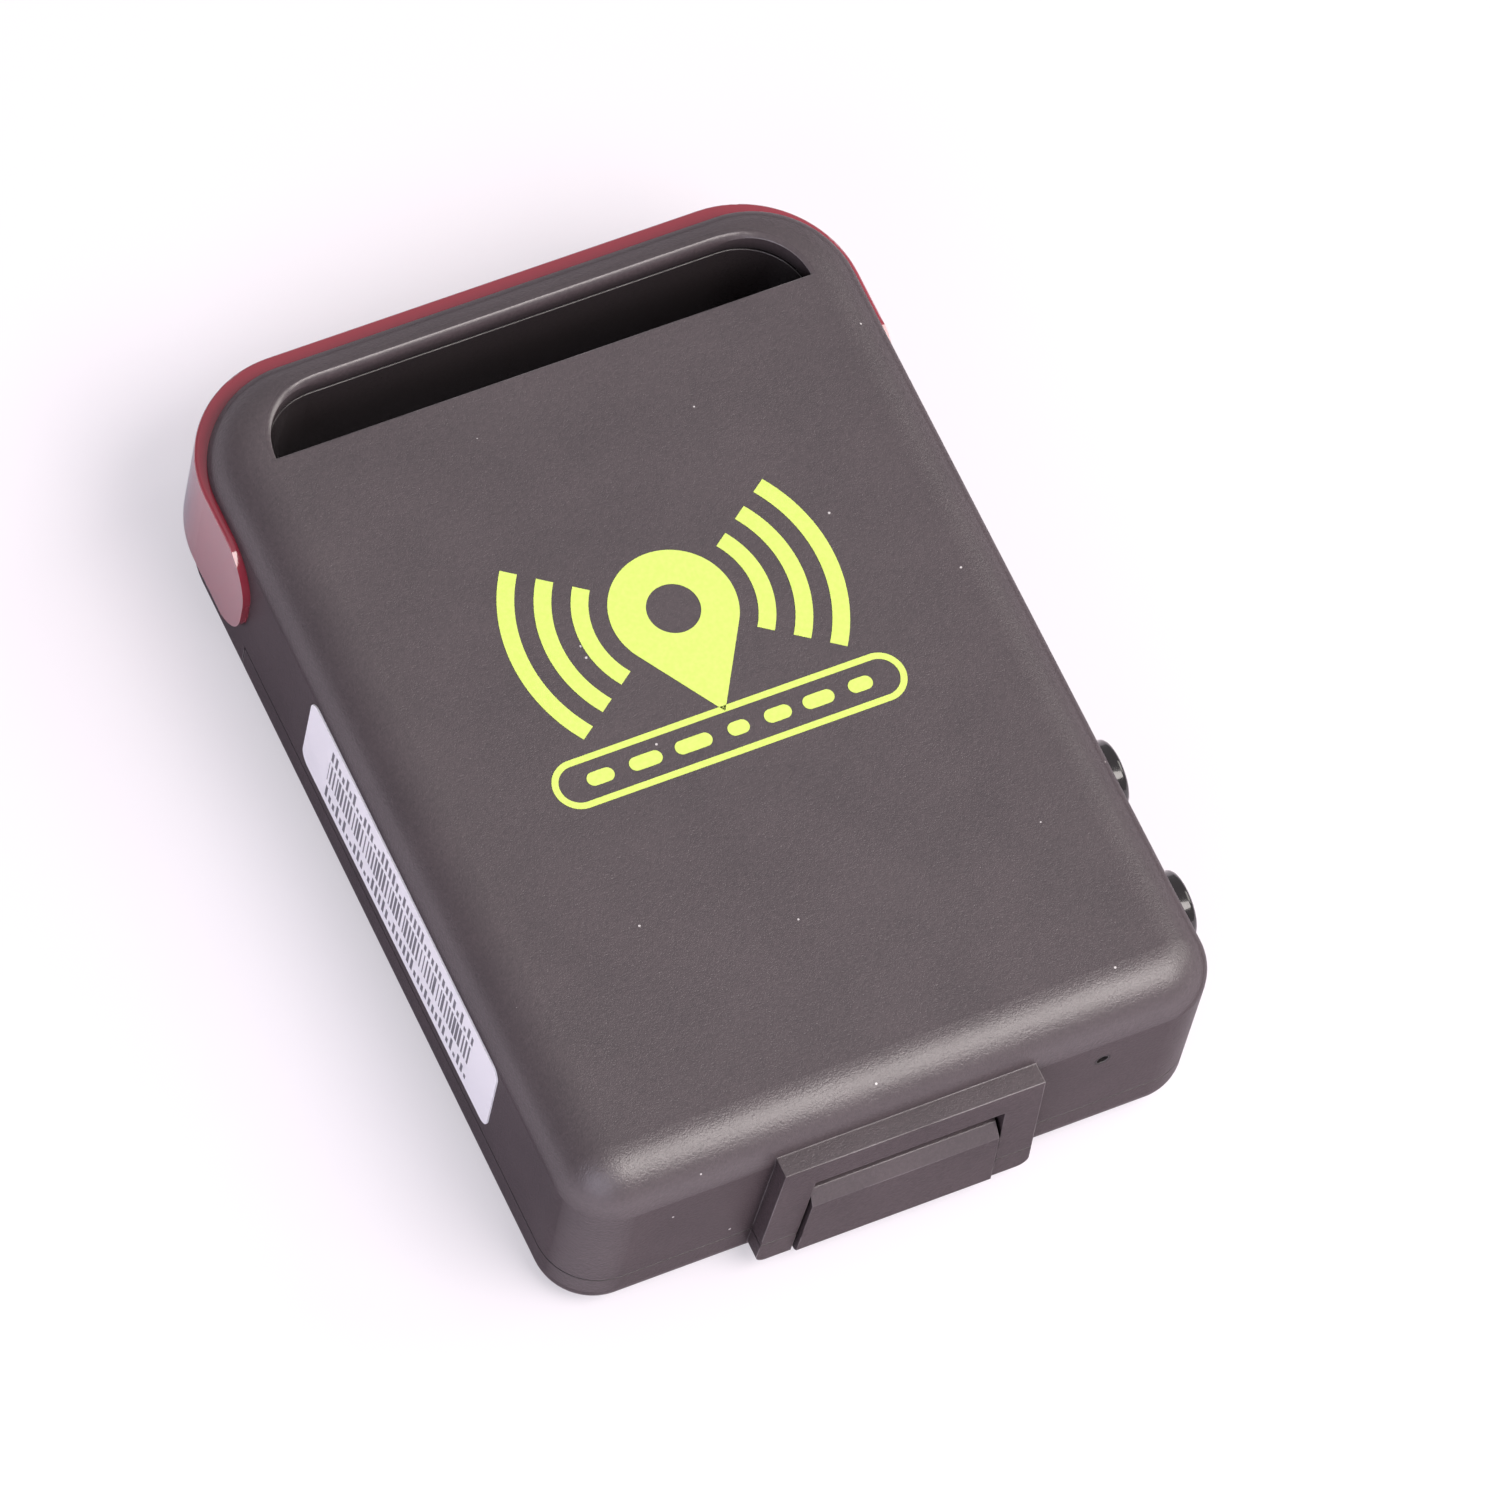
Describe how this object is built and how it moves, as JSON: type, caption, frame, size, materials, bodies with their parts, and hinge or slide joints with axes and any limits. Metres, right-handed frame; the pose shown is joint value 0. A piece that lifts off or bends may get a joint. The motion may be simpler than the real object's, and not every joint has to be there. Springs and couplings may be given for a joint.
{
  "type": "gps tracker",
  "caption": "Pocket location tracker: a small moulded box with a strap slot, a tinted end band, two side keys, a charging socket and a hinged battery cover with a latch.",
  "frame": {"origin": "on the flat back face, below the middle of the body", "axes": "+X across the width towards the side with the two keys, +Y along the length towards the strap slot, +Z out of the front face"},
  "size_m": [0.0481, 0.067, 0.0164],
  "materials": {
    "shell": "satin warm grey, finely spark-eroded",
    "tinted_band": "glossy dark red, see-through",
    "sticker": "white film with a satin face",
    "key": "glossy near-black",
    "switch_metal": "tinned",
    "board": "green solder mask",
    "chip": "black moulding compound",
    "antenna_block": "cream fired block",
    "silvering": "silver plating",
    "tinned_steel": "tinned sheet",
    "carrier": "antenna carrier with plated traces",
    "card": "off-white card",
    "battery_wrap": "dark grey wrap",
    "gilt": "gold plated",
    "boot_rubber": "dull",
    "led": "clear lens on a white base",
    "small_parts": "brown chip parts",
    "print_ink": "lime pad-printed ink",
    "screw_steel": "zinc plated"
  },
  "bodies": {
    "case": {"front_shell": "shell", "rear_shell": "shell", "window_band": "tinted_band", "side_label": "sticker", "power_switch": "switch_metal", "alarm_switch": "switch_metal", "main_board": "board", "processor": "chip", "gps_antenna": "antenna_block", "antenna_plate": "silvering", "gps_shield": "tinned_steel", "gsm_shield": "tinned_steel", "gsm_antenna": "carrier", "sim_holder": "tinned_steel", "sim_card": "card", "battery_pack": "battery_wrap", "battery_terminals": "gilt", "battery_contacts": "gilt", "microphone": "tinned_steel", "mic_boot": "boot_rubber", "usb_socket": "tinned_steel", "usb_tongue": "chip", "status_leds": "led", "board_parts": "small_parts", "case_screws": "screw_steel"},
    "cover": {"battery_cover": "shell"},
    "power_key": {"power_key": "key"},
    "alarm_key": {"alarm_key": "key"}
  },
  "joints": [
    {"name": "cover_hinge", "type": "hinge", "parent": "case", "child": "cover", "pos_m": [0, 0.01826, 0], "axis": [1, 0, 0], "range_deg": [0, 30]},
    {"name": "power_press", "type": "slide", "parent": "case", "child": "power_key", "axis": [-1, 0, 0], "range_m": [0, 0.0004], "stiffness_N_per_m": 1500, "springref_m": -0.0003},
    {"name": "alarm_press", "type": "slide", "parent": "case", "child": "alarm_key", "axis": [-1, 0, 0], "range_m": [0, 0.0004], "stiffness_N_per_m": 1500, "springref_m": -0.0003}
  ]
}
